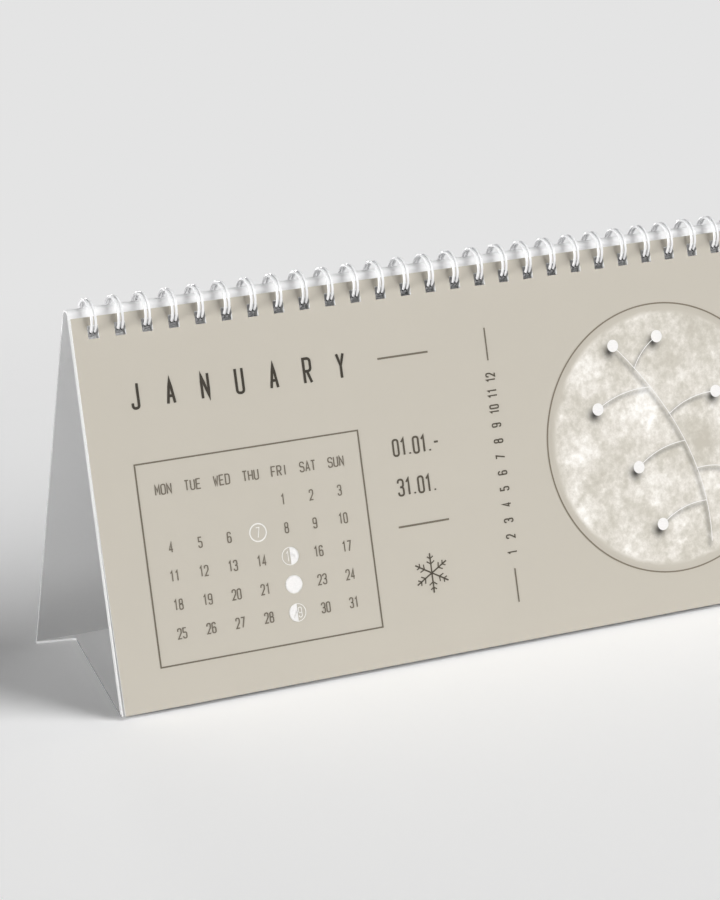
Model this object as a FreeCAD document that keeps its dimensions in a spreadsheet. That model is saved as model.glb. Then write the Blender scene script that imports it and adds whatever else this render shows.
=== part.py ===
import FreeCAD, Part
import Sketcher
import math
import os

# A desk calendar: a tent of folded card, the block of leaves on its front, the loose leaf in
# front of the block, and the bent wire comb that binds them to the tent's ridge. Millimetres.
# +X runs along the width, +Y from the front to the back and +Z up.
# The origin is the middle of the base's underside.

SIZES = (
    ("width", 250, "length of the tent and of every leaf"),
    ("card", 0.6, "thickness of the folded card"),
    ("fold_inside", 1.6, "inside radius of the ridge fold"),
    ("crease_outside", 0.5, "outside radius of the two creases on the table"),
    ("front_lean", 14.6, "front panel from upright, in degrees"),
    ("back_lean", 18.1, "back panel from upright, in degrees"),
    ("base_depth", 71.4, "front crease to the back panel's outer face, at the table"),
    ("base_inset", 12, "how far each end of the base is cut in, at the deepest"),
    ("base_notch", 3.5, "back panel's outer face forward to that deepest point"),
    ("lip_inset", 1, "how far each end of the glued lip stays back"),
    ("lip_height", 12, "glued lip, up the outside of the back panel"),
    ("lip_corner", 4, "cut-off corners of the lip"),
    ("leaf_height", 117, "height of every leaf"),
    ("leaf_top", 117.5, "front crease up to the front leaf's top edge"),
    ("leaf_out", 1.9, "front panel out to the front leaf's printed face"),
    ("leaf_thick", 0.2, "thickness of the front leaf"),
    ("leaf_straight", 15, "flat part of the front leaf, down from its top edge"),
    ("leaf_lift", 1.9, "how far its bottom edge curls forward"),
    ("block_thick", 1.3, "thickness of the block of leaves behind it"),
    ("block_gap", 0.05, "front leaf to the block"),
    ("block_drop", 0.3, "how much lower the block hangs on the rings"),
    ("hole_wide", 3.4, "width of each punched hole"),
    ("hole_high", 4, "height of each punched hole"),
    ("hole_drop", 4.5, "leaf's top edge to the middle of its holes"),
    ("punch_drop", 3.8, "ring centre down to the middle of the card's holes"),
    ("loops", 29, "twin loops along the comb"),
    ("pitch", 8.4667, "spacing of the loops, three to the inch"),
    ("ring_up", 117.2, "front crease up to the ring centre, along the front panel"),
    ("ring_in", 1.6, "front panel's outer face in to the ring centre"),
    ("ring_radius", 5.25, "radius of the closed rings, to the middle of the wire"),
    ("wire_thick", 0.85, "diameter of the wire"),
    ("wire_pair", 1.2, "spacing of the two wires of a loop"),
    ("wire_bend", 0.8, "bend radius at the foot of each loop"),
    ("wire_end", 1, "straight end of the comb, past its last bend"),
    ("root_angle", 14, "foot of each loop, in degrees behind the ring's lowest point"),
    ("tip_angle", 9, "closed end of each loop, in degrees in front of that point"),
)

# The slopes of the two panels, as the expressions that bind a size to the sheet.
SIN_FRONT = "sin(Sizes.front_lean * 1 deg)"
COS_FRONT = "cos(Sizes.front_lean * 1 deg)"
TAN_FRONT = "tan(Sizes.front_lean * 1 deg)"
SIN_BACK = "sin(Sizes.back_lean * 1 deg)"
COS_BACK = "cos(Sizes.back_lean * 1 deg)"
TAN_BACK = "tan(Sizes.back_lean * 1 deg)"
TO_ORIGIN = "Sizes.base_depth / 2"
FIRST_LOOP = "-(Sizes.loops - 1) * Sizes.pitch / 2"


def add_sizes(doc):
    sheet = doc.addObject("Spreadsheet::Sheet", "Sizes")
    for row, (name, value, note) in enumerate(SIZES, start=1):
        sheet.set(f"A{row}", name)
        sheet.set(f"B{row}", str(value))
        sheet.setAlias(f"B{row}", name)
        sheet.set(f"C{row}", note)
    doc.recompute()
    return sheet


def measure(owner, text):
    return float(owner.evalExpression(text))


def backward(up, inward):
    """Y of a place given along the front panel and inward from its outer face."""
    return f"({up}) * {SIN_FRONT} + ({inward}) * {COS_FRONT} - {TO_ORIGIN}"


def upward(up, inward):
    """Z of the same place."""
    return f"({up}) * {COS_FRONT} - ({inward}) * {SIN_FRONT}"


def new_body(doc, name):
    body = doc.addObject("PartDesign::Body", name)
    body.Label = name
    doc.recompute()
    return body


def new_sketch(body, name, role):
    plane = next(part for part in body.Origin.OriginFeatures if part.Role == role)
    sketch = body.newObject("Sketcher::SketchObject", name)
    sketch.AttachmentSupport = (plane, "")
    sketch.MapMode = "FlatFace"
    return sketch


def place_vector(sketch, place):
    across, up = place
    return FreeCAD.Vector(measure(sketch, across), measure(sketch, up), 0)


def hold_point(sketch, geometry, end, place):
    """Ties one end of a sketch line to a place given as two expressions."""
    here = place_vector(sketch, place)
    for kind, value, text in zip(("DistanceX", "DistanceY"), here, place):
        tie = Sketcher.Constraint(kind, -1, 1, geometry, end, value)
        index = sketch.addConstraint(tie)
        sketch.setExpression(f"Constraints[{index}]", text)


def hold_radius(sketch, geometry, text):
    tie = Sketcher.Constraint("Radius", geometry, measure(sketch, text))
    index = sketch.addConstraint(tie)
    sketch.setExpression(f"Constraints[{index}]", text)


def add_outline(sketch, corners):
    """Draws a closed outline of straight lines through corners given as expressions."""
    points = [place_vector(sketch, corner) for corner in corners]
    ends = zip(points, points[1:] + points[:1])
    lines = [sketch.addGeometry(Part.LineSegment(start, end), False) for start, end in ends]
    for line, after in zip(lines, lines[1:] + lines[:1]):
        sketch.addConstraint(Sketcher.Constraint("Coincident", line, 2, after, 1))
    for line, corner in zip(lines, corners):
        hold_point(sketch, line, 1, corner)


def add_pad(body, name, sketch, length, middle):
    pad = body.newObject("PartDesign::Pad", name)
    pad.Profile = sketch
    pad.Midplane = middle
    pad.setExpression("Length", length)
    body.Document.recompute()
    return pad


def add_holes(body, height, reach):
    """Punches one hole at the left end and repeats it along the width."""
    left = f"{FIRST_LOOP} - Sizes.hole_wide / 2"
    right = f"{FIRST_LOOP} + Sizes.hole_wide / 2"
    bottom = f"{height} - Sizes.hole_high / 2"
    top = f"{height} + Sizes.hole_high / 2"
    sketch = new_sketch(body, "hole_outline", "XZ_Plane")
    add_outline(sketch, ((left, bottom), (right, bottom), (right, top), (left, top)))
    before = body.Shape.Volume
    hole = body.newObject("PartDesign::Pocket", "hole")
    hole.Profile = sketch
    hole.Midplane = True
    hole.setExpression("Length", reach)
    body.Document.recompute()
    first = before - body.Shape.Volume
    row = body.newObject("PartDesign::LinearPattern", "hole_row")
    row.Originals = [hole]
    row.Direction = (sketch, ["H_Axis"])
    row.setExpression("Length", "(Sizes.loops - 1) * Sizes.pitch")
    row.setExpression("Occurrences", "Sizes.loops")
    body.Tip = row
    body.Document.recompute()
    wanted = first * measure(row, "Sizes.loops")
    if first <= 0 or abs(before - body.Shape.Volume - wanted) > 0.01 * wanted:
        raise RuntimeError(f"{body.Label}: the row of holes is not whole")


def dress_edges(body, kind, name, middles, size, text):
    """Rounds or cuts off the edges whose middles lie at the given points."""
    edges = []
    near = 0.05
    for index, edge in enumerate(body.Shape.Edges, start=1):
        middle = edge.CenterOfMass
        if any(middle.distanceToPoint(point) < near for point in middles):
            edges.append(f"Edge{index}")
    if len(edges) != len(middles):
        raise RuntimeError(f"{name}: found {len(edges)} edges of {len(middles)}")
    base = body.Tip
    dress = body.newObject(kind, name)
    dress.Base = (base, edges)
    dress.setExpression(size, text)
    body.Document.recompute()


def make_easel_card(doc):
    """The tent: front panel, ridge, back panel, base and glued lip, folded from one sheet."""
    body = new_body(doc, "easel_card")
    foot = "Sizes.card"
    slopes = f"({TAN_FRONT} + {TAN_BACK})"
    skins = f"Sizes.card * (1 / {COS_FRONT} + 1 / {COS_BACK})"
    top = f"Sizes.base_depth / {slopes}"
    inner_top = f"(Sizes.base_depth - {skins}) / {slopes}"
    front_inside = f"(Sizes.card / {COS_FRONT} + {{up}} * {TAN_FRONT})"
    back_outside = f"(Sizes.base_depth - {{up}} * {TAN_BACK})"
    back_inside = f"(Sizes.base_depth - Sizes.card / {COS_BACK} - {{up}} * {TAN_BACK})"
    base_start = front_inside.format(up=foot)
    base_end = f"(Sizes.base_depth + Sizes.card / {COS_BACK})"
    half = "Sizes.width / 2"
    lip_half = "(Sizes.width / 2 - Sizes.lip_inset)"
    cut_half = "(Sizes.width / 2 - Sizes.base_inset)"

    panels = new_sketch(body, "panels_outline", "YZ_Plane")
    add_outline(
        panels,
        (
            ("0", "0"),
            (f"{top} * {TAN_FRONT}", top),
            (back_outside.format(up=foot), foot),
            (back_inside.format(up=foot), foot),
            (front_inside.format(up=f"({inner_top})"), inner_top),
            (base_start, foot),
            (base_start, "0"),
        ),
    )
    add_pad(body, "panels", panels, "Sizes.width", True)

    base = new_sketch(body, "base_outline", "XY_Plane")
    add_outline(
        base,
        (
            (f"-{half}", base_start),
            (half, base_start),
            (cut_half, "Sizes.base_depth - Sizes.base_notch"),
            (half, back_inside.format(up=foot)),
            (half, "Sizes.base_depth"),
            (lip_half, base_end),
            (f"-{lip_half}", base_end),
            (f"-{half}", "Sizes.base_depth"),
            (f"-{half}", back_inside.format(up=foot)),
            (f"-{cut_half}", "Sizes.base_depth - Sizes.base_notch"),
        ),
    )
    add_pad(body, "base", base, "Sizes.card", False)

    lip = new_sketch(body, "lip_outline", "YZ_Plane")
    lip_top = (f"{base_end} - Sizes.lip_height * {SIN_BACK}", f"Sizes.lip_height * {COS_BACK}")
    lip_top_inside = (
        f"{lip_top[0]} - Sizes.card * {COS_BACK}",
        f"{lip_top[1]} - Sizes.card * {SIN_BACK}",
    )
    add_outline(lip, ((base_end, "0"), lip_top, lip_top_inside, ("Sizes.base_depth", "0")))
    add_pad(body, "lip", lip, f"2 * {lip_half}", True)

    def at(across, back, up):
        return FreeCAD.Vector(*(measure(body, text) for text in (across, back, up)))

    ridge = at("0", f"{top} * {TAN_FRONT}", top)
    ridge_inside = at("0", front_inside.format(up=f"({inner_top})"), inner_top)
    creases = [at("0", "0", "0"), at("0", base_end, "0")]
    lip_back = f"({lip_top[0]} + {lip_top_inside[0]}) / 2"
    lip_up = f"({lip_top[1]} + {lip_top_inside[1]}) / 2"
    corners = [at(f"{side}{lip_half}", lip_back, lip_up) for side in ("", "-")]
    outside = "Sizes.fold_inside + Sizes.card"
    rounds = "PartDesign::Fillet"
    dress_edges(body, rounds, "ridge", [ridge], "Radius", outside)
    dress_edges(body, rounds, "ridge_inside", [ridge_inside], "Radius", "Sizes.fold_inside")
    dress_edges(body, rounds, "creases", creases, "Radius", "Sizes.crease_outside")
    dress_edges(body, "PartDesign::Chamfer", "lip_corners", corners, "Size", "Sizes.lip_corner")
    ring_height = upward("Sizes.ring_up", "Sizes.ring_in")
    add_holes(body, f"{ring_height} - Sizes.punch_drop", "4 * Sizes.base_depth")
    body.setExpression("Placement.Base.y", f"-{TO_ORIGIN}")
    doc.recompute()
    return body


def hang_leaf(body, up, inward):
    """Leans a leaf with the front panel and puts its top edge where the rings hold it."""
    body.Placement = FreeCAD.Placement(
        FreeCAD.Vector(), FreeCAD.Rotation(FreeCAD.Vector(-1, 0, 0), 1)
    )
    body.setExpression("Placement.Rotation.Angle", "Sizes.front_lean * 1 deg")
    body.setExpression("Placement.Base.y", backward(up, inward))
    body.setExpression("Placement.Base.z", upward(up, inward))


def make_leaf_block(doc):
    """The leaves behind the front one, bound as one flat block."""
    body = new_body(doc, "leaf_block")
    thick = "Sizes.block_thick"
    bottom = "-Sizes.leaf_height"
    section = new_sketch(body, "section", "YZ_Plane")
    add_outline(section, (("0", "0"), ("0", bottom), (thick, bottom), (thick, "0")))
    add_pad(body, "leaves", section, "Sizes.width", True)
    add_holes(body, "-Sizes.hole_drop", "4 * Sizes.block_thick")
    inward = "Sizes.leaf_thick + Sizes.block_gap - Sizes.leaf_out"
    hang_leaf(body, "Sizes.leaf_top - Sizes.block_drop", inward)
    return body


def make_front_leaf(doc):
    """One month's leaf: flat at the top, curling forward to its bottom edge."""
    body = new_body(doc, "front_leaf")
    thick = "Sizes.leaf_thick"
    flat_end = "-Sizes.leaf_straight"
    curl = "(Sizes.leaf_height - Sizes.leaf_straight)"
    radius = f"({curl}^2 / (2 * Sizes.leaf_lift))"
    turn = f"(2 * Sizes.leaf_lift / {curl} * 1 rad)"
    faces = {"printed": radius, "plain": f"({radius} + {thick})"}
    section = new_sketch(body, "section", "YZ_Plane")

    def bottom(face):
        across = f"{faces[face]} * cos({turn}) - {radius}"
        return across, f"{flat_end} - {faces[face]} * sin({turn})"

    corners = (
        ("0", "0"),
        ("0", flat_end),
        bottom("printed"),
        bottom("plain"),
        (thick, flat_end),
        (thick, "0"),
    )
    points = [place_vector(section, corner) for corner in corners]
    centre = place_vector(section, (f"-{radius}", flat_end))
    angle = math.radians(measure(section, turn))

    def arc(face):
        circle = Part.Circle(centre, FreeCAD.Vector(0, 0, 1), measure(section, faces[face]))
        return Part.ArcOfCircle(circle, -angle, 0)

    pieces = (
        Part.LineSegment(points[0], points[1]),
        arc("printed"),
        Part.LineSegment(points[2], points[3]),
        arc("plain"),
        Part.LineSegment(points[4], points[5]),
        Part.LineSegment(points[5], points[0]),
    )
    for piece in pieces:
        section.addGeometry(piece, False)
    # Each arc starts at the leaf's bottom edge and ends at the flat part.
    joins = ((0, 2, 1, 2), (1, 1, 2, 1), (2, 2, 3, 1), (3, 2, 4, 1), (4, 2, 5, 1), (5, 2, 0, 1))
    for join in joins:
        section.addConstraint(Sketcher.Constraint("Coincident", *join))
    for (geometry, end), corner in zip(((0, 1), (0, 2), (2, 1), (2, 2), (4, 1), (4, 2)), corners):
        hold_point(section, geometry, end, corner)
    hold_radius(section, 1, faces["printed"])
    hold_radius(section, 3, faces["plain"])
    add_pad(body, "leaf", section, "Sizes.width", True)
    add_holes(body, "-Sizes.hole_drop", "4 * Sizes.leaf_thick")
    hang_leaf(body, "Sizes.leaf_top", "-Sizes.leaf_out")
    return body


def comb_path(sheet):
    """The middle line of the wire: up one side of each loop, round its tip and back down."""
    radius = sheet.ring_radius
    bend = sheet.wire_bend
    half = sheet.wire_pair / 2
    root = math.radians(sheet.root_angle)
    tip = math.radians(360 - sheet.tip_angle)
    diagonal = bend * math.sqrt(0.5)

    def on_ring(x, angle, along=0):
        """A point on a ring, moved along the ring's tangent there."""
        back = radius * math.sin(angle) + along * math.cos(angle)
        up = -radius * math.cos(angle) + along * math.sin(angle)
        return FreeCAD.Vector(x, back, up)

    def foot(x, side):
        """Quarter bend between the straight root and one wire of a loop."""
        outer = on_ring(x + side * bend, root, -bend)
        middle = on_ring(x + side * (bend - diagonal), root, -diagonal)
        return [outer, middle, on_ring(x, root)]

    edges = []
    last = None
    for loop in range(int(sheet.loops)):
        x = (loop - (sheet.loops - 1) / 2) * sheet.pitch
        left = foot(x - half, -1)
        right = foot(x + half, 1)
        if last is None:
            last = left[0] - FreeCAD.Vector(sheet.wire_end, 0, 0)
        edges.append(Part.makeLine(last, left[0]))
        edges.append(Part.Arc(*left).toShape())
        for way, side in ((1, -1), (-1, 1)):
            ends = (root, tip)[::way]
            stops = (ends[0], (root + tip) / 2, ends[1])
            ring = Part.Arc(*(on_ring(x + side * half, stop) for stop in stops)).toShape()
            edges.append(ring)
            if way == 1:
                turn = (on_ring(x - half, tip), on_ring(x, tip, half), on_ring(x + half, tip))
                edges.append(Part.Arc(*turn).toShape())
        edges.append(Part.Arc(*reversed(right)).toShape())
        last = right[0]
    edges.append(Part.makeLine(last, last + FreeCAD.Vector(sheet.wire_end, 0, 0)))
    return Part.Wire(edges)


def make_wire_comb(doc, sheet):
    """One wire bent into twin loops that stand out of a single plane, so it is swept here."""
    path = comb_path(sheet)
    start = path.OrderedVertexes[0].Point
    circle = Part.makeCircle(sheet.wire_thick / 2, start, FreeCAD.Vector(1, 0, 0))
    comb = doc.addObject("Part::Feature", "wire_comb")
    comb.Label = "wire_comb"
    comb.Shape = path.makePipeShell([Part.Wire([circle])], True, False)
    comb.setExpression("Placement.Base.y", backward("Sizes.ring_up", "Sizes.ring_in"))
    comb.setExpression("Placement.Base.z", upward("Sizes.ring_up", "Sizes.ring_in"))
    doc.recompute()
    section = math.pi * sheet.wire_thick**2 / 4
    print(f"comb: {path.Length:.0f} mm of wire, volume {comb.Shape.Volume:.1f}", end=" ")
    print(f"against {path.Length * section:.1f}")
    return comb


def check(doc, pieces):
    for item in doc.Objects:
        if {"Invalid", "Error"} & set(item.State):
            raise RuntimeError(f"{item.Label} failed: {item.State}")
    for piece in pieces:
        shape = piece.Shape
        if shape.isNull() or not shape.isValid() or len(shape.Solids) != 1:
            raise RuntimeError(f"{piece.Label} is not one valid solid")


def main():
    doc = FreeCAD.newDocument("desk_calendar")
    sheet = add_sizes(doc)
    pieces = [
        make_easel_card(doc),
        make_wire_comb(doc, sheet),
        make_leaf_block(doc),
        make_front_leaf(doc),
    ]
    doc.recompute()
    check(doc, pieces)
    os.makedirs("parts", exist_ok=True)
    for piece in pieces:
        piece.Shape.exportStep(f"parts/{piece.Label}.step")
        box = piece.Shape.BoundBox
        print(piece.Label, f"{piece.Shape.Volume:.0f} mm3, Y {box.YMin:.2f} to {box.YMax:.2f},", end=" ")
        print(f"Z {box.ZMin:.2f} to {box.ZMax:.2f}")


main()
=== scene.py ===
import math
import bmesh
import bpy
from mathutils import Matrix, Vector


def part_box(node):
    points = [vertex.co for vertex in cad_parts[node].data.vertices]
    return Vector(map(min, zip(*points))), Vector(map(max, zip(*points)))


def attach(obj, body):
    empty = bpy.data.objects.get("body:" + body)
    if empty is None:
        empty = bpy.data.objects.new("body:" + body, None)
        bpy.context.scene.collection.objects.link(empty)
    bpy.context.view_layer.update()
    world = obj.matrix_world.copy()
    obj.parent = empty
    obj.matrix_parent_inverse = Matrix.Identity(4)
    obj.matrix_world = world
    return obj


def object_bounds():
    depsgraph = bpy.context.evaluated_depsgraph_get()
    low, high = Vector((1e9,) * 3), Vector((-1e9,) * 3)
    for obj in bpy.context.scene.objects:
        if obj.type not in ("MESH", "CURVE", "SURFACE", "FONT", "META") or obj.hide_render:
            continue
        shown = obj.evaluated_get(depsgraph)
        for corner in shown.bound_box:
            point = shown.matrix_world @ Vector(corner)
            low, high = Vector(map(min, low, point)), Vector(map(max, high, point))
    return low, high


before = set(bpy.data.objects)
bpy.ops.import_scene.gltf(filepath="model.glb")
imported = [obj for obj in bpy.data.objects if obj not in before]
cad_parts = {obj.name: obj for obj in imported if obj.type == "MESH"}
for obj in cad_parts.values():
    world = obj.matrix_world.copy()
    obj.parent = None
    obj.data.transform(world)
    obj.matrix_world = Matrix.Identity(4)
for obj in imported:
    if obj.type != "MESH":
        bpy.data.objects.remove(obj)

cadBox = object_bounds()
mm = 0.001


def srgb(red, green, blue):
    # a colour as seen on screen, 0 to 255, turned into the linear one that a shader takes
    shares = [part / 255 for part in (red, green, blue)]
    return tuple(s / 12.92 if s <= 0.04045 else ((s + 0.055) / 1.055) ** 2.4 for s in shares) + (1,)


def addNode(tree, kind, inputs=None, **settings):
    node = tree.nodes.new("ShaderNode" + kind)
    for name, value in settings.items():
        setattr(node, name, value)
    for name, value in (inputs or {}).items():
        if hasattr(value, "is_output"):
            tree.links.new(value, node.inputs[name])
        else:
            node.inputs[name].default_value = value
    return node


def maths(tree, operation, *values, clamp=False):
    node = addNode(tree, "Math", operation=operation, use_clamp=clamp)
    for index, value in enumerate(values):
        if hasattr(value, "is_output"):
            tree.links.new(value, node.inputs[index])
        else:
            node.inputs[index].default_value = value
    return node.outputs[0]


def mixColours(tree, factor, first, second, blend="MIX"):
    node = addNode(tree, "Mix", data_type="RGBA", blend_type=blend)
    for socket, value in ((0, factor), (6, first), (7, second)):
        if hasattr(value, "is_output"):
            tree.links.new(value, node.inputs[socket])
        else:
            node.inputs[socket].default_value = value
    return node.outputs[2]


def newGroup(name, inputs, outputs):
    group = bpy.data.node_groups.new(name, "ShaderNodeTree")
    for label, kind, value in inputs:
        socket = group.interface.new_socket(label, in_out="INPUT", socket_type="NodeSocket" + kind)
        socket.default_value = value
    for label, kind in outputs:
        group.interface.new_socket(label, in_out="OUTPUT", socket_type="NodeSocket" + kind)
    return group, group.nodes.new("NodeGroupInput").outputs, group.nodes.new("NodeGroupOutput").inputs


def useGroup(tree, group, **inputs):
    node = tree.nodes.new("ShaderNodeGroup")
    node.node_tree = group
    for name, value in inputs.items():
        if hasattr(value, "is_output"):
            tree.links.new(value, node.inputs[name])
        else:
            node.inputs[name].default_value = value
    return node.outputs


def newMaterial(name, **shaderValues):
    material = bpy.data.materials.new(name)
    material.use_nodes = True
    tree = material.node_tree
    tree.nodes.clear()
    shader = addNode(tree, "BsdfPrincipled")
    output = addNode(tree, "OutputMaterial")
    tree.links.new(shader.outputs[0], output.inputs["Surface"])
    for label, value in shaderValues.items():
        shader.inputs[label.replace("_", " ")].default_value = value
    return material, tree, shader


def dress(node, material):
    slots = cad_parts[node].material_slots
    for slot in slots:
        slot.material = material


def makePaperGrain():
    # fine fibres, longest along the sheet's width, and the slow cloudiness of uncoated paper and card
    alongWidth = (0.45, 1.0, 1.0)
    inputs = [("fibreSize", "Float", 0.4 * mm), ("cloudSize", "Float", 30 * mm)]
    group, given, wanted = newGroup("paperGrain", inputs, [("fibre", "Float"), ("cloud", "Float")])
    place = addNode(group, "TexCoord").outputs["Object"]
    fibreScale = maths(group, "DIVIDE", 1.0, given["fibreSize"])
    cloudScale = maths(group, "DIVIDE", 1.0, given["cloudSize"])
    stretched = addNode(group, "Mapping", {"Vector": place, "Scale": alongWidth}).outputs[0]
    fibre = addNode(group, "TexNoise", {"Vector": stretched, "Scale": fibreScale, "Detail": 3.0})
    cloud = addNode(group, "TexNoise", {"Vector": place, "Scale": cloudScale, "Detail": 2.0})
    group.links.new(fibre.outputs[0], wanted["fibre"])
    group.links.new(cloud.outputs[0], wanted["cloud"])
    return group


def makeLeafFrame(lean):
    # place and facing in the leaf's own directions: along it, through it and up its face
    outputs = [(name, "Float") for name in ("through", "up", "endFacing", "printFacing", "edgeFacing")]
    group, _, wanted = newGroup("leafFrame", [], outputs)
    coords = addNode(group, "TexCoord").outputs
    turned = addNode(group, "Mapping", {"Vector": coords["Object"], "Rotation": (lean, 0, 0)})
    place = addNode(group, "SeparateXYZ", {"Vector": turned.outputs[0]}).outputs
    facing = addNode(group, "Mapping", {"Vector": coords["Normal"], "Rotation": (lean, 0, 0)})
    side = addNode(group, "SeparateXYZ", {"Vector": facing.outputs[0]}).outputs
    group.links.new(place["Y"], wanted["through"])
    group.links.new(place["Z"], wanted["up"])
    group.links.new(maths(group, "ABSOLUTE", side["X"]), wanted["endFacing"])
    group.links.new(maths(group, "MULTIPLY", side["Y"], -1.0), wanted["printFacing"])
    group.links.new(maths(group, "ABSOLUTE", side["Z"]), wanted["edgeFacing"])
    return group


leaf = {
    "height": 117 * mm,
    "lean": math.radians(14.6),  # back from upright
    "flat": 15 * mm,  # straight part at the top
    "curl": 1.9 * mm,  # how far the bottom edge comes forward
    "thick": 0.2 * mm,
    "slant": (-0.38, -0.1),  # the print drifts left and up as the sheet curls forward
}
# how far each layer of print stands off the sheet, lowest first
proud = {"wash": 0.07 * mm, "line": 0.09 * mm, "twig": 0.1 * mm, "berry": 0.12 * mm}
# how finely the ink is divided: a line's longest step, and the steps of a corner and of a ring
fine = {"step": 3 * mm, "corner": 8, "ring": 48, "mitre": 0.4}
curlLength = leaf["height"] - leaf["flat"]
curlRadius = curlLength**2 / (2 * leaf["curl"])
leafLow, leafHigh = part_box("front_leaf")
leafTop = Vector((leafLow.x, leafHigh.y - leaf["thick"] * math.cos(leaf["lean"]), leafHigh.z))
leafTurn = Matrix.Rotation(-leaf["lean"], 3, "X")


def onLeaf(across, down, above=proud["line"]):
    # a point on the printed face, from its top left corner, just proud of the paper
    turn = max(down - leaf["flat"], 0) / curlRadius
    curled = curlRadius * (1 - math.cos(turn))
    forward = -curled - above * math.cos(turn)
    drop = min(down, leaf["flat"]) + curlRadius * math.sin(turn) - above * math.sin(turn)
    across += leaf["slant"][0] * curled
    drop += leaf["slant"][1] * curled
    return leafTop + leafTurn @ Vector((across, forward, -drop))


print("print: letters and lines")

# Each sign is a few strokes in a box one wide and one high, from its top left corner.
# A corner with a third value is rounded off, and "close" joins a stroke's last corner to its first.
bend = 1
signs = {
    "0": [[(0, 0, bend), (1, 0, bend), (1, 1, bend), (0, 1, bend), "close"]],
    "1": [[(0.15, 0.2), (0.6, 0), (0.6, 1)]],
    "2": [[(0, 0.28), (0, 0, bend), (1, 0, bend), (1, 0.42, bend), (0, 1), (1, 1)]],
    "3": [[(0, 0.22), (0, 0, bend), (1, 0, bend), (1, 0.48, bend), (0.35, 0.48)],
          [(0.35, 0.48), (1, 0.48, bend), (1, 1, bend), (0, 1, bend), (0, 0.78)]],
    "4": [[(0.72, 1), (0.72, 0), (0, 0.74), (1.05, 0.74)]],
    "5": [[(0.95, 0), (0.05, 0), (0.05, 0.42), (1, 0.42, bend), (1, 1, bend), (0, 1, bend), (0, 0.78)]],
    "6": [[(0.95, 0.2), (0.95, 0, bend), (0, 0, bend), (0, 0.6)],
          [(0, 0.44, bend), (1, 0.44, bend), (1, 1, bend), (0, 1, bend), "close"]],
    "7": [[(0, 0), (1, 0), (0.35, 1)]],
    "8": [[(0.05, 0, bend), (0.95, 0, bend), (0.95, 0.47, bend), (0.05, 0.47, bend), "close"],
          [(0, 0.47, bend), (1, 0.47, bend), (1, 1, bend), (0, 1, bend), "close"]],
    "9": [[(0.05, 0.8), (0.05, 1, bend), (1, 1, bend), (1, 0.4)],
          [(0, 0, bend), (1, 0, bend), (1, 0.56, bend), (0, 0.56, bend), "close"]],
    "A": [[(0, 1), (0.5, 0), (1, 1)], [(0.18, 0.7), (0.82, 0.7)]],
    "D": [[(0, 0), (1, 0, bend), (1, 1, bend), (0, 1), "close"]],
    "E": [[(1, 0), (0, 0), (0, 1), (1, 1)], [(0, 0.5), (0.85, 0.5)]],
    "F": [[(1, 0), (0, 0), (0, 1)], [(0, 0.5), (0.85, 0.5)]],
    "H": [[(0, 0), (0, 1)], [(1, 0), (1, 1)], [(0, 0.5), (1, 0.5)]],
    "I": [[(0.5, 0), (0.5, 1)]],
    "J": [[(0.9, 0), (0.9, 1, bend), (0, 1, bend), (0, 0.78)]],
    "M": [[(0, 1), (0, 0), (0.5, 0.65), (1, 0), (1, 1)]],
    "N": [[(0, 1), (0, 0), (1, 1), (1, 0)]],
    "O": [[(0, 0, bend), (1, 0, bend), (1, 1, bend), (0, 1, bend), "close"]],
    "R": [[(0, 1), (0, 0), (1, 0, bend), (1, 0.52, bend), (0, 0.52)], [(0.45, 0.52), (1, 1)]],
    "S": [[(1, 0.22), (1, 0, bend), (0, 0, bend), (0, 0.48, bend),
           (1, 0.48, bend), (1, 1, bend), (0, 1, bend), (0, 0.78)]],
    "T": [[(0, 0), (1, 0)], [(0.5, 0), (0.5, 1)]],
    "U": [[(0, 0), (0, 1, bend), (1, 1, bend), (1, 0)]],
    "W": [[(0, 0), (0.25, 1), (0.5, 0.3), (0.75, 1), (1, 0)]],
    "Y": [[(0, 0), (0.5, 0.52), (1, 0)], [(0.5, 0.52), (0.5, 1)]],
    ".": [[(0.4, 0.9), (0.4, 1)]],
    "-": [[(0.1, 0.5), (0.9, 0.5)]],
}


def curvePoint(start, pull, end, share):
    # a point on a plain bow from start to end, drawn towards pull
    return start * (1 - share) ** 2 + pull * 2 * share * (1 - share) + end * share**2


def bow(start, pull, end, steps):
    return [curvePoint(start, pull, end, k / steps) for k in range(steps + 1)]


def roundCorners(points, closed, radius):
    # replaces each rounded corner of a line by a short curve
    path = []
    count = len(points)
    for index, (corner, rounded) in enumerate(points):
        if not rounded or (not closed and index in (0, count - 1)):
            path.append(corner)
            continue
        before, after = points[index - 1], points[(index + 1) % count]
        toBefore, toAfter = before[0] - corner, after[0] - corner
        halfTurn = toBefore.angle(toAfter) / 2
        reach = min(
            toBefore.length * (0.5 if before[1] else 1),
            toAfter.length * (0.5 if after[1] else 1),
            radius / math.tan(halfTurn),
        )
        start = corner + toBefore.normalized() * reach
        end = corner + toAfter.normalized() * reach
        path += bow(start, corner, end, fine["corner"])
    return [p for k, p in enumerate(path) if k == 0 or (p - path[k - 1]).length > 0.001 * mm]


def refine(path, longest):
    # adds points so that no step is too long to follow the paper's curl
    points = [path[0]]
    for start, end in zip(path, path[1:]):
        steps = max(1, math.ceil((end - start).length / longest))
        points += [start.lerp(end, (k + 1) / steps) for k in range(steps)]
    return points


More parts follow.
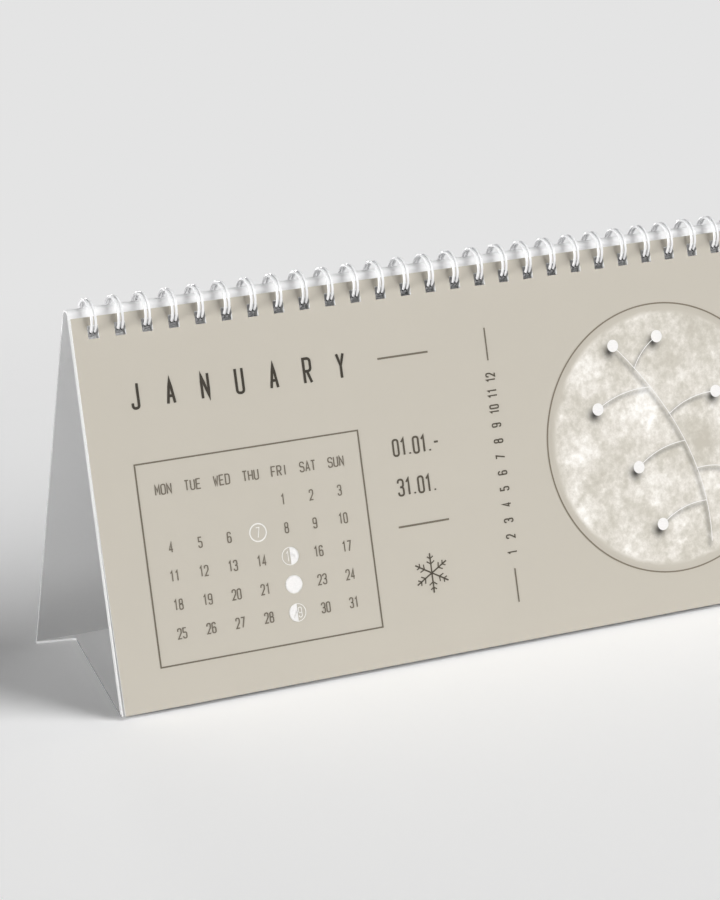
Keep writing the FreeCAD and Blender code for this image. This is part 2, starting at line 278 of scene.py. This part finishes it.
def addRibbon(mesh, path, width, closed=False, above=proud["line"]):
    # a flat line of ink along a path of (across, down) points
    if closed:
        path = path + [path[0]]
    path = refine(path, fine["step"])
    sides = []
    last = len(path) - 1
    for k, point in enumerate(path):
        before = path[k - 1] if k > 0 else (path[last - 1] if closed else None)
        after = path[k + 1] if k < last else (path[1] if closed else None)
        ways = []
        if before is not None:
            ways.append((point - before).normalized())
        if after is not None:
            ways.append((after - point).normalized())
        way = sum(ways, Vector((0, 0))).normalized()
        across = Vector((-way.y, way.x))
        stretch = 1 / max(fine["mitre"], across.dot(Vector((-ways[0].y, ways[0].x))))
        for side in (-1, 1):
            edge = point + across * (side * width / 2 * stretch)
            sides.append(mesh.verts.new(onLeaf(edge.x, edge.y, above)))
    for k in range(last):
        mesh.faces.new((sides[2 * k], sides[2 * k + 1], sides[2 * k + 3], sides[2 * k + 2]))


def addSign(mesh, sign, corner, size, weight, turn=0.0):
    # one letter or number, its top left corner at the given place, turned about it
    spin = Matrix.Rotation(turn, 2)
    for stroke in signs[sign]:
        closed = stroke[-1] == "close"
        points = []
        for spot in stroke[: -1 if closed else None]:
            flat = Vector((spot[0] * size[0], spot[1] * size[1]))
            points.append((corner + spin @ flat, len(spot) == 3))
        addRibbon(mesh, roundCorners(points, closed, size[0] / 2), weight, closed)


def addWord(mesh, word, middle, size, gap, weight, turn=0.0):
    # a word centred on a place
    spin = Matrix.Rotation(turn, 2)
    length = len(word) * size[0] + (len(word) - 1) * gap
    start = Vector((-length / 2, -size[1] / 2))
    for k, sign in enumerate(word):
        corner = middle + spin @ (start + Vector((k * (size[0] + gap), 0)))
        addSign(mesh, sign, corner, size, weight, turn)


def ringPath(middle, radius, start=0.0, end=2 * math.pi, steps=fine["ring"]):
    # points round a ring, or round a part of it
    angles = [start + (end - start) * k / steps for k in range(steps + 1)]
    return [middle + radius * Vector((math.cos(a), math.sin(a))) for a in angles]


def addDisc(mesh, middle, radius, start=0.0, end=2 * math.pi, above=proud["line"]):
    rim = ringPath(middle, radius, start, end)
    hub = mesh.verts.new(onLeaf(middle.x, middle.y, above))
    edge = [mesh.verts.new(onLeaf(p.x, p.y, above)) for p in rim]
    for first, second in zip(edge, edge[1:]):
        mesh.faces.new((hub, first, second))


def finishPrint(name, mesh, material):
    # makes a piece of the mesh, facing forward, that moves with the front leaf
    bmesh.ops.recalc_face_normals(mesh, faces=mesh.faces)
    for face in mesh.faces:
        if face.normal.y > 0:
            face.normal_flip()
    data = bpy.data.meshes.new(name)
    mesh.to_mesh(data)
    mesh.free()
    data.materials.append(material)
    piece = bpy.data.objects.new(name, data)
    bpy.context.scene.collection.objects.link(piece)
    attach(piece, "front_leaf")


ink = {
    "heading": srgb(55, 49, 39),
    "note": srgb(86, 79, 67),
    "line": srgb(115, 107, 93),
    "number": srgb(118, 110, 97),
    "outline": srgb(132, 122, 106),
    "light": srgb(250, 248, 246),
    "pale": srgb(246, 244, 239),
    "fibre": 0.35 * mm,
    "cloud": 20 * mm,
    "soaked": 0.82,  # how much darker it is where the sheet's fibres drink it
    "roughness": 0.8,
}


def darken(colour, share):
    return tuple(share * part for part in colour[:3]) + (1,)


def inkMaterial(name):
    # ink soaks into the sheet, so the paper's fibres show through it
    material, tree, shader = newMaterial(name + "_ink", Roughness=ink["roughness"])
    grain = useGroup(tree, paperGrain, fibreSize=ink["fibre"], cloudSize=ink["cloud"])
    tone = mixColours(tree, grain["fibre"], ink[name], darken(ink[name], ink["soaked"]))
    tree.links.new(tone, shader.inputs["Base Color"])
    return material


# the print: places are across and down from the leaf's top left corner
month = {
    "name": "JANUARY",
    "days": ("MON", "TUE", "WED", "THU", "FRI", "SAT", "SUN"),
    "length": 31,
    "firstColumn": 4,  # the first falls on a Friday
}
heading = {
    "left": 16.75 * mm,
    "step": 11.12 * mm,
    "middle": 24.75 * mm,
    "letter": (2.15 * mm, 7.3 * mm),
    "weight": 0.85 * mm,
}
grid = {
    "box": (13.6 * mm, 44.8 * mm, 86.2 * mm, 105 * mm),
    "left": 21.6 * mm,
    "columnStep": 9.36 * mm,
    "dayRow": 53.1 * mm,
    "firstRow": 61.8 * mm,
    "rowStep": 8.56 * mm,
    "dayLetter": (1.25 * mm, 2.9 * mm),
    "dayGap": 0.62 * mm,
    "number": (1.05 * mm, 3.0 * mm),
    "numberGap": 0.6 * mm,
    "weight": 0.38 * mm,
    "line": 0.47 * mm,
}
moon = {
    "days": {7: "ring", 15: "right", 22: "full", 29: "left"},
    # where the lit part starts and ends round the rim, in half turns from the right
    "lit": {"full": (0, 2), "right": (-0.5, 0.5), "left": (0.5, 1.5)},
    "radius": 2.65 * mm,
    "rim": 0.26 * mm,
    "ring": 0.42 * mm,
    "numberWeight": 0.7,  # of the other dates' weight
}
notes = {
    "left": 97.3 * mm,
    "rows": ((51.9 * mm, "01.01.-"), (64.1 * mm, "31.01.")),
    "letter": (1.68 * mm, 4.9 * mm),
    "dot": 0.9 * mm,
    "gap": 0.86 * mm,
    "weight": 0.63 * mm,
}
column = {
    "across": 133.1 * mm,
    "top": 35 * mm,
    "step": 4.95 * mm,
    "count": 12,
    "letter": (1.0 * mm, 2.9 * mm),
    "gap": 0.55 * mm,
    "weight": 0.45 * mm,
}
# each rule's ends and weight, in mm
rules = (
    ((95.8, 24.35), (112.9, 24.35), 0.6),
    ((95.7, 76.0), (112.9, 76.0), 0.6),
    ((133.0, 19.6), (133.0, 29.7), 0.46),
    ((133.1, 94.5), (133.1, 105.0), 0.46),
)


def dateSpot(day):
    row, columnIndex = divmod(day - 1 + month["firstColumn"], len(month["days"]))
    across = grid["left"] + grid["columnStep"] * columnIndex
    return Vector((across, grid["firstRow"] + grid["rowStep"] * row))


def printHeading(material):
    mesh = bmesh.new()
    for k, letter in enumerate(month["name"]):
        middle = Vector((heading["left"] + k * heading["step"], heading["middle"]))
        addWord(mesh, letter, middle, heading["letter"], 0, heading["weight"])
    finishPrint("month_name", mesh, material)


def printLines(material):
    mesh = bmesh.new()
    left, top, right, bottom = grid["box"]
    corners = [Vector(c) for c in ((left, top), (right, top), (right, bottom), (left, bottom))]
    addRibbon(mesh, corners, grid["line"], closed=True)
    for start, end, weight in rules:
        addRibbon(mesh, [Vector(start) * mm, Vector(end) * mm], weight * mm)
    finishPrint("printed_rules", mesh, material)


def printDates(material):
    mesh = bmesh.new()
    for k, day in enumerate(month["days"]):
        middle = Vector((grid["left"] + k * grid["columnStep"], grid["dayRow"]))
        addWord(mesh, day, middle, grid["dayLetter"], grid["dayGap"], grid["weight"])
    for day in range(1, month["length"] + 1):
        if day not in moon["days"]:
            addWord(mesh, str(day), dateSpot(day), grid["number"], grid["numberGap"], grid["weight"])
    finishPrint("date_grid", mesh, material)


def printPhases(material, paleMaterial):
    # the dates that the moon marks stand in a thin rim, lit in part or whole
    weight = grid["weight"] * moon["numberWeight"]
    rims, lit = bmesh.new(), bmesh.new()
    for day, phase in moon["days"].items():
        middle = dateSpot(day)
        rim = moon["ring"] if phase == "ring" else moon["rim"]
        addRibbon(rims, ringPath(middle, moon["radius"])[:-1], rim, closed=True)
        if phase in moon["lit"]:
            start, end = moon["lit"][phase]
            addDisc(lit, middle, moon["radius"], start * math.pi, end * math.pi)
        if phase != "full":
            addWord(rims, str(day), middle, grid["number"], grid["numberGap"], weight)
    finishPrint("moon_rims", rims, paleMaterial)
    finishPrint("moon_phases", lit, material)


def printNotes(material):
    # the month's first and last day, and the numbers of the months, which read upward
    mesh = bmesh.new()
    width, height = notes["letter"]
    for row, text in notes["rows"]:
        across = notes["left"]
        for sign in text:
            wide = notes["dot"] if sign == "." else width
            addSign(mesh, sign, Vector((across, row - height / 2)), (wide, height), notes["weight"])
            across += wide + notes["gap"]
    for k in range(column["count"]):
        middle = Vector((column["across"], column["top"] + k * column["step"]))
        number = str(column["count"] - k)
        addWord(mesh, number, middle, column["letter"], column["gap"], column["weight"], -math.pi / 2)
    finishPrint("date_notes", mesh, material)


flake = {
    "middle": Vector((104.8, 91.4)) * mm,
    "reach": 6.1 * mm,
    "arms": 6,
    "twigs": ((0.45, 0.26), (0.72, 0.2)),  # place along the arm and length, as shares of it
    "twigTurn": math.radians(55),
    "weight": 0.47 * mm,
    "twigWeight": 0.8,  # of the arms' weight
}


def printFlake(material):
    # a six-armed snow crystal, with one arm upright
    mesh = bmesh.new()
    middle, apart = flake["middle"], 360 / flake["arms"]
    for arm in range(flake["arms"]):
        tip = Matrix.Rotation(math.radians(apart * arm + apart / 2), 2) @ Vector((flake["reach"], 0))
        addRibbon(mesh, [middle, middle + tip], flake["weight"])
        for share, size in flake["twigs"]:
            root = middle + tip * share
            for side in (-1, 1):
                twig = Matrix.Rotation(side * flake["twigTurn"], 2) @ tip * size
                addRibbon(mesh, [root, root + twig], flake["weight"] * flake["twigWeight"])
    finishPrint("snow_crystal", mesh, material)


sprig = {
    # all in mm on the sheet: the stem's start, pull and tip, and each twig's place along it, tip and bow
    "stem": ((204, 97), (207, 64), (177, 31)),
    "twigs": ((0.2, (187, 89), -3), (0.36, (218, 77), 3), (0.5, (181, 70), -3),
              (0.64, (212, 50), 3), (0.78, (169, 50), -3), (0.88, (193, 30), 2)),
    "stemSteps": 24,
    "twigSteps": 12,
    "shadowStep": 0.6,
    "weight": 0.24,
    "berry": 1.95,
    "shadow": (-1.5, 1.6),  # how far the soft shadows fall to the side and down
    "twigNear": 0.6,  # the twigs lie nearer to the sheet than the berries
    "berryShadow": (2.1, 1.0),  # reach, and depth from 0 to 1
    "twigShadow": (0.8, 0.42),
}


def sprigPaths():
    # the stem and its twigs as lines of points, and the berries at their tips, in mm
    start, pull, end = (Vector(spot) for spot in sprig["stem"])
    paths = [bow(start, pull, end, sprig["stemSteps"])]
    berries = [end]
    for share, tip, aside in sprig["twigs"]:
        root, tip = curvePoint(start, pull, end, share), Vector(tip)
        way = (tip - root).normalized()
        middle = (root + tip) / 2 + Vector((way.y, -way.x)) * aside
        paths.append(bow(root, middle, tip, sprig["twigSteps"]))
        berries.append(tip)
    return paths, berries


def printSprig(material):
    mesh = bmesh.new()
    paths, berries = sprigPaths()
    for path in paths:
        addRibbon(mesh, [spot * mm for spot in path], sprig["weight"] * mm, above=proud["twig"])
    for berry in berries:
        addDisc(mesh, berry * mm, sprig["berry"] * mm, above=proud["berry"])
    finishPrint("winter_sprig", mesh, material)


def shadeAt(spot, paths, berries):
    # how dark the sprig's soft shadow is at a place on the sheet, 0 to 1
    place = spot - Vector(sprig["shadow"])
    reach, depth = sprig["berryShadow"]
    shade = max(depth * math.exp(-((place - berry).length / reach) ** 2) for berry in berries)
    place = spot - Vector(sprig["shadow"]) * sprig["twigNear"]
    reach, depth = sprig["twigShadow"]
    nearest = min((place - point).length for path in paths for point in path)
    return max(shade, depth * math.exp(-((nearest / reach) ** 2)))


picture = {
    "middle": Vector((192.2, 62.1)) * mm,
    "disc": 41.2 * mm,
    "outline": 42.5 * mm,
    "outlineWeight": 0.46 * mm,
    "outlineSteps": 160,
    "rings": 64,
    "spokes": 240,
    # the wash from its deepest to its palest, by where the mottle's value is
    "wash": ((0.44, srgb(193, 187, 175)), (0.53, srgb(205, 200, 189)), (0.6, srgb(220, 215, 206)),
             (0.67, srgb(237, 233, 226)), (0.74, srgb(252, 250, 246))),
    "clouds": {"Scale": 55.0, "Detail": 8.0, "Roughness": 0.62},
    "specks": {"Scale": 420.0, "Detail": 4.0, "Roughness": 0.7},
    "cloudShare": 0.74,
    "speckShare": 0.42,
    "edge": (0.985, 36.0, 0.06),  # where the wash fades out, how fast, and how ragged it is
    "shadow": srgb(46, 43, 40),
    "roughness": 0.75,
    "gloss": 0.3,
}


def pictureMaterial():
    # a cloudy wash of cream on tan, with the sprig's soft shadows on it
    material, tree, shader = newMaterial("picture_wash", Roughness=picture["roughness"],
                                         Specular_IOR_Level=picture["gloss"])
    place = addNode(tree, "TexCoord").outputs["Object"]
    clouds = addNode(tree, "TexNoise", {"Vector": place, **picture["clouds"]}).outputs[0]
    specks = addNode(tree, "TexNoise", {"Vector": place, **picture["specks"]}).outputs[0]
    mottle = maths(tree, "MULTIPLY", clouds, picture["cloudShare"])
    mottle = maths(tree, "MULTIPLY_ADD", specks, picture["speckShare"], mottle)
    wash = addNode(tree, "ValToRGB", {"Fac": mottle})
    stops = wash.color_ramp.elements
    first, *between, last = picture["wash"]
    stops[0].position, stops[0].color = first
    stops[1].position, stops[1].color = last
    for position, colour in between:
        stops.new(position).color = colour
    start, speed, ragged = picture["edge"]
    fromMiddle = addNode(tree, "Attribute", attribute_name="fromMiddle").outputs["Fac"]
    fromMiddle = maths(tree, "MULTIPLY_ADD", specks, ragged, fromMiddle)
    fade = maths(tree, "MULTIPLY", maths(tree, "SUBTRACT", fromMiddle, start), speed, clamp=True)
    tone = mixColours(tree, fade, wash.outputs[0], paper["tan"])
    shade = addNode(tree, "Attribute", attribute_name="shade").outputs["Fac"]
    tree.links.new(mixColours(tree, shade, tone, picture["shadow"]), shader.inputs["Base Color"])
    return material


def printPicture(material, outlineMaterial):
    # a disc of fine rings, so that each corner can hold how deep the shadow is there
    paths, berries = sprigPaths()
    paths = [refine(path, sprig["shadowStep"]) for path in paths]
    mesh = bmesh.new()
    shadeLayer = mesh.verts.layers.float.new("shade")
    rimLayer = mesh.verts.layers.float.new("fromMiddle")
    rings, spokes = picture["rings"], picture["spokes"]
    rows = []
    for ring in range(rings + 1):
        radius = picture["disc"] * ring / rings
        row = []
        for spoke in range(spokes if ring else 1):
            angle = 2 * math.pi * spoke / spokes
            spot = picture["middle"] + radius * Vector((math.cos(angle), math.sin(angle)))
            vert = mesh.verts.new(onLeaf(spot.x, spot.y, proud["wash"]))
            vert[shadeLayer] = shadeAt(spot / mm, paths, berries)
            vert[rimLayer] = ring / rings
            row.append(vert)
        rows.append(row)
    for inner, outer in zip(rows, rows[1:]):
        for spoke in range(spokes):
            after = (spoke + 1) % spokes
            if len(inner) == 1:
                mesh.faces.new((inner[0], outer[spoke], outer[after]))
            else:
                mesh.faces.new((inner[spoke], outer[spoke], outer[after], inner[after]))
    finishPrint("winter_picture", mesh, material)
    mesh = bmesh.new()
    outline = ringPath(picture["middle"], picture["outline"], steps=picture["outlineSteps"])
    addRibbon(mesh, outline[:-1], picture["outlineWeight"], closed=True)
    finishPrint("picture_outline", mesh, outlineMaterial)


print("materials")
paperGrain = makePaperGrain()
leafFrame = makeLeafFrame(leaf["lean"])

paper = {
    "white": srgb(239, 239, 238),
    "shade": srgb(233, 233, 232),
    "cut": srgb(228, 228, 227),  # cut edges
    "gap": srgb(150, 149, 146),  # between two sheets
    "tan": srgb(195, 189, 177),
    "tanShade": srgb(192, 186, 174),
    "sheet": 0.21 * mm,  # one leaf of the block
    "sheetShare": 0.82,  # of that, the rest is the gap
    "gapDepth": 0.6,
    "fibre": 0.4 * mm,
    "cloud": 25 * mm,
    "tanCloud": 40 * mm,
    "roughness": 0.75,
    "tanRoughness": 0.7,
    "gloss": 0.3,
    "bump": 0.02 * mm,
    "tanBump": 0.015 * mm,
    "squarely": 0.6,  # a face counts as an edge or as the front where it faces that way by this much
}
card = {
    "white": srgb(249, 249, 249),
    "shade": srgb(243, 243, 243),
    # painted lightening of the base and up-facing faces
    "base": srgb(249, 249, 249),
    "edge": srgb(226, 226, 226),
    "backEdge": srgb(190, 190, 190),
    "baseEdgeShadow": srgb(128, 128, 128),  # painted contact shadow along the base's side edges
    "foldShade": srgb(150, 150, 150),  # painted shade in the back fold, inside
    "foldShadeTop": 34 * mm,
    "foldShadeDepth": 0.4,
    "baseTop": 0.62 * mm,
    "notchStart": 31 * mm,
    "fibre": 0.5 * mm,
    "cloud": 35 * mm,
    "roughness": 0.6,
    "gloss": 0.35,
    "bump": 0.02 * mm,
    "upward": 0.9,  # how squarely a face looks up, forward or to a side to count as that
    "forward": 0.5,
    "sideways": 0.4,
}
wire = {
    "lacquer": srgb(240, 240, 241),
    "worn": srgb(205, 205, 208),
    # painted shade on the wire inside the holes
    "buriedShade": srgb(205, 205, 206),
    # painted dark shadow where each wire enters the sheets
    "dark": srgb(30, 30, 30),
    "holeTop": 2.6 * mm,  # down from the leaf's top edge
    "gap": (0.0 * mm, 0.5 * mm),  # behind the printed face, where each wire meets the sheets: the span of its painted dark shadow
    "patches": {"Scale": 260.0, "Detail": 3.0},
    "wear": 1.6,
    "roughness": (0.24, 0.25),  # of whole lacquer, and what full wear adds
    "coat": 0.4,
    "coatRoughness": 0.12,
}
# the printed face and the leaf's top edge in the leaf's own directions
leafFace = leafTop.y * math.cos(leaf["lean"]) - leafTop.z * math.sin(leaf["lean"])
leafEdge = leafTop.y * math.sin(leaf["lean"]) + leafTop.z * math.cos(leaf["lean"])


def addFibreBump(tree, shader, height, depth):
    bump = addNode(tree, "Bump", {"Height": height, "Distance": depth, "Strength": 0.5})
    tree.links.new(bump.outputs[0], shader.inputs["Normal"])


def more(tree, value, limit):
    # 1 where the value is above the limit, or else 0
    return maths(tree, "GREATER_THAN", value, limit)


def less(tree, value, limit):
    return maths(tree, "LESS_THAN", value, limit)


def both(tree, first, second):
    return maths(tree, "MULTIPLY", first, second)


def paperMaterial():
    # the block: white sheets, with a fine dark line between each two on the cut edges
    material, tree, shader = newMaterial("leaf_paper", Roughness=paper["roughness"],
                                         Specular_IOR_Level=paper["gloss"])
    grain = useGroup(tree, paperGrain, fibreSize=paper["fibre"], cloudSize=paper["cloud"])
    place = useGroup(tree, leafFrame)
    tone = mixColours(tree, grain["cloud"], paper["white"], paper["shade"])
    layer = maths(tree, "FRACT", maths(tree, "DIVIDE", place["through"], paper["sheet"]))
    gap = more(tree, layer, paper["sheetShare"])
    facing = maths(tree, "MAXIMUM", place["endFacing"], place["edgeFacing"])
    edge = more(tree, facing, paper["squarely"])
    tone = mixColours(tree, edge, tone, paper["cut"])
    line = both(tree, both(tree, gap, edge), paper["gapDepth"])
    tree.links.new(mixColours(tree, line, tone, paper["gap"]), shader.inputs["Base Color"])
    addFibreBump(tree, shader, grain["fibre"], paper["bump"])
    return material


def printedMaterial():
    # the front leaf: pale tan all over its face, white on its back and cut edges
    material, tree, shader = newMaterial("printed_leaf", Roughness=paper["tanRoughness"],
                                         Specular_IOR_Level=paper["gloss"])
    grain = useGroup(tree, paperGrain, fibreSize=paper["fibre"], cloudSize=paper["tanCloud"])
    place = useGroup(tree, leafFrame)
    tint = mixColours(tree, grain["cloud"], paper["tan"], paper["tanShade"])
    printed = more(tree, place["printFacing"], paper["squarely"])
    tree.links.new(mixColours(tree, printed, paper["white"], tint), shader.inputs["Base Color"])
    addFibreBump(tree, shader, grain["fibre"], paper["tanBump"])
    return material


def cardMaterial():
    # the tent: smooth white card, with duller cut edges, a painted shadow along the base's side edges and
    # painted shade in the back fold
    material, tree, shader = newMaterial("white_card", Roughness=card["roughness"],
                                         Specular_IOR_Level=card["gloss"])
    grain = useGroup(tree, paperGrain, fibreSize=card["fibre"], cloudSize=card["cloud"])
    place = useGroup(tree, leafFrame)
    coords = addNode(tree, "TexCoord").outputs
    spot = addNode(tree, "SeparateXYZ", {"Vector": coords["Object"]}).outputs
    facing = addNode(tree, "SeparateXYZ", {"Vector": coords["Normal"]}).outputs
    tone = mixColours(tree, grain["cloud"], card["white"], card["shade"])
    # the base and other up-facing faces in plain card white, a painted lightening, and the inside of the
    # back panel above it
    low = less(tree, spot["Z"], card["baseTop"])
    upward = more(tree, facing["Z"], card["upward"])
    tone = mixColours(tree, maths(tree, "MAXIMUM", upward, low), tone, card["base"])
    behind = more(tree, spot["Y"], 0.0)
    inner = both(tree, less(tree, facing["Y"], -card["forward"]), behind)
    inner = both(tree, inner, maths(tree, "SUBTRACT", 1.0, low))
    # painted shade on the back panel's inside, darkest at the fold
    rise = {"Value": spot["Z"], "From Min": card["foldShadeTop"], "From Max": 0.0}
    nearFold = addNode(tree, "MapRange", rise, interpolation_type="SMOOTHERSTEP").outputs[0]
    nearFold = both(tree, both(tree, nearFold, inner), card["foldShadeDepth"])
    tone = mixColours(tree, nearFold, tone, card["foldShade"])
    # the cut edges, with a painted shadow on the base's side edges as far back as its notch
    edge = more(tree, place["endFacing"], card["sideways"])
    ahead = less(tree, spot["Y"], card["notchStart"])
    edgeTone = mixColours(tree, behind, card["edge"], card["backEdge"])
    edgeTone = mixColours(tree, both(tree, low, ahead), edgeTone, card["baseEdgeShadow"])
    tree.links.new(mixColours(tree, edge, tone, edgeTone), shader.inputs["Base Color"])
    addFibreBump(tree, shader, grain["fibre"], card["bump"])
    return material


def wireMaterial():
    # white lacquer over drawn steel, thinner and greyer in patches, with painted shade on the wire inside
    # the holes and a painted dark shadow where each wire meets the sheets
    material, tree, shader = newMaterial("lacquered_wire", Coat_Weight=wire["coat"],
                                         Coat_Roughness=wire["coatRoughness"])
    place = addNode(tree, "TexCoord").outputs["Object"]
    patches = addNode(tree, "TexNoise", {"Vector": place, **wire["patches"]}).outputs[0]
    worn = maths(tree, "SUBTRACT", patches, 0.5, clamp=True)
    worn = maths(tree, "MULTIPLY", worn, wire["wear"], clamp=True)
    tone = mixColours(tree, worn, wire["lacquer"], wire["worn"])
    sheet = useGroup(tree, leafFrame)
    depth = maths(tree, "SUBTRACT", sheet["through"], leafFace)
    below = less(tree, sheet["up"], leafEdge - wire["holeTop"])
    start, end = wire["gap"]
    inside = both(tree, more(tree, depth, start), below)
    inGap = both(tree, less(tree, depth, end), inside)
    tone = mixColours(tree, inside, tone, wire["buriedShade"])
    tree.links.new(mixColours(tree, inGap, tone, wire["dark"]), shader.inputs["Base Color"])
    smooth, added = wire["roughness"]
    tree.links.new(maths(tree, "MULTIPLY_ADD", worn, added, smooth), shader.inputs["Roughness"])
    return material


dress("easel_card", cardMaterial())
dress("wire_comb", wireMaterial())
dress("leaf_block", paperMaterial())
dress("front_leaf", printedMaterial())

print("print on the front leaf")
noteInk = inkMaterial("note")
lightInk = inkMaterial("light")
printHeading(inkMaterial("heading"))
printLines(inkMaterial("line"))
printDates(inkMaterial("number"))
printPhases(lightInk, inkMaterial("pale"))
printNotes(noteInk)
printFlake(noteInk)
printPicture(pictureMaterial(), inkMaterial("outline"))
printSprig(lightInk)

studio = {
    "floor": srgb(249, 249, 249),
    "seenFloor": (1.18, 1.18, 1.18, 1),  # the floor looks this much paler than the light it gives back
    "floorCloud": {"Scale": 0.6, "Detail": 1.0},
    "floorShade": 0.97,
    "floorSize": 30.0,
    "floorDrop": 0.02 * mm,
    "backdrop": srgb(228, 228, 228),
    "fade": (0.14, 0.42),  # where the floor turns into the backdrop, behind the calendar
    "sky": 0.09,
    # direction from the calendar, distance, width and power of each lamp
    "key": ((1.1, -0.92, 0.89), 9.0, 6.6, 780.0),
    "leftFill": ((-1.0, -0.2, 0.09), 7.0, 3.0, 590.0),
    "backFill": ((0.15, 1.0, 0.04), 7.0, 1.2, 185.0),
}
camera = {
    "aim": Vector((-32.5, -7.725, 60.6)) * mm,
    "distance": 1.0,
    "azimuth": math.radians(-25.58),
    "elevation": math.radians(17.04),
    "roll": math.radians(-1.07),
    "lens": 130.4,
    "sensor": 36,
    "clip": (0.05, 60),
}


def seenRays(tree):
    # 1 where the camera sees a thing straight or in metal or glass, 0 where it only gives light
    rays = addNode(tree, "LightPath").outputs
    mirrored = maths(tree, "MAXIMUM", rays["Is Glossy Ray"], rays["Is Transmission Ray"])
    return maths(tree, "MAXIMUM", rays["Is Camera Ray"], mirrored)


def floorMaterial():
    # plain and pale, and far behind the calendar an even backdrop to the camera
    material, tree, shader = newMaterial("floor", Roughness=0.9, Specular_IOR_Level=0.0)
    place = addNode(tree, "TexCoord").outputs["Object"]
    seen = seenRays(tree)
    cloud = addNode(tree, "TexNoise", {"Vector": place, **studio["floorCloud"]}).outputs[0]
    tone = mixColours(tree, cloud, studio["floor"], darken(studio["floor"], studio["floorShade"]))
    tone = mixColours(tree, seen, tone, studio["seenFloor"], blend="MULTIPLY")
    tree.links.new(tone, shader.inputs["Base Color"])
    turned = addNode(tree, "Mapping", {"Vector": place, "Rotation": (0, 0, -camera["azimuth"])})
    behind = addNode(tree, "SeparateXYZ", {"Vector": turned.outputs[0]}).outputs["Y"]
    start, end = studio["fade"]
    reach = {"Value": behind, "From Min": start, "From Max": end}
    fade = addNode(tree, "MapRange", reach, interpolation_type="SMOOTHSTEP").outputs[0]
    even = addNode(tree, "Emission", {"Color": studio["backdrop"], "Strength": 1.0})
    joined = addNode(tree, "MixShader", {"Fac": both(tree, fade, seen)})
    tree.links.new(shader.outputs[0], joined.inputs[1])
    tree.links.new(even.outputs[0], joined.inputs[2])
    tree.links.new(joined.outputs[0], tree.nodes["Material Output"].inputs["Surface"])
    return material


def addFloor():
    mesh = bmesh.new()
    bmesh.ops.create_grid(mesh, x_segments=8, y_segments=8, size=studio["floorSize"] / 2)
    data = bpy.data.meshes.new("floor")
    mesh.to_mesh(data)
    mesh.free()
    data.materials.append(floorMaterial())
    floor = bpy.data.objects.new("floor", data)
    floor.location.z = cadBox[0].z - studio["floorDrop"]
    bpy.context.scene.collection.objects.link(floor)


def addLamp(name, direction, distance, width, power):
    light = bpy.data.lights.new(name, "AREA")
    light.shape = "DISK"
    light.size = width
    light.energy = power
    lamp = bpy.data.objects.new(name, light)
    way = Vector(direction).normalized()
    lamp.location = way * distance
    lamp.rotation_mode = "QUATERNION"
    lamp.rotation_quaternion = way.to_track_quat("Z", "Y")
    bpy.context.scene.collection.objects.link(lamp)


def addSky():
    world = bpy.data.worlds.new("studio")
    world.use_nodes = True
    tree = world.node_tree
    sky = tree.nodes["Background"]
    sky.inputs["Color"].default_value = (1, 1, 1, 1)
    lift = studio["backdrop"][0] - studio["sky"]
    tree.links.new(maths(tree, "MULTIPLY_ADD", seenRays(tree), lift, studio["sky"]), sky.inputs["Strength"])
    bpy.context.scene.world = world


def addCamera():
    data = bpy.data.cameras.new("camera")
    data.lens = camera["lens"]
    data.sensor_width = camera["sensor"]
    data.clip_start, data.clip_end = camera["clip"]
    eye = bpy.data.objects.new("camera", data)
    a, e = camera["azimuth"], camera["elevation"]
    back = Vector((math.sin(a) * math.cos(e), -math.cos(a) * math.cos(e), math.sin(e)))
    eye.location = camera["aim"] + back * camera["distance"]
    facing = (-back).to_track_quat("-Z", "Y").to_matrix() @ Matrix.Rotation(camera["roll"], 3, "Z")
    eye.rotation_mode = "QUATERNION"
    eye.rotation_quaternion = facing.to_quaternion()
    bpy.context.scene.collection.objects.link(eye)
    bpy.context.scene.camera = eye


print("floor, light and camera")
addFloor()
addLamp("key", *studio["key"])
addLamp("left_fill", *studio["leftFill"])
addLamp("back_fill", *studio["backFill"])
addSky()
addCamera()
bpy.context.scene.view_settings.view_transform = "Standard"
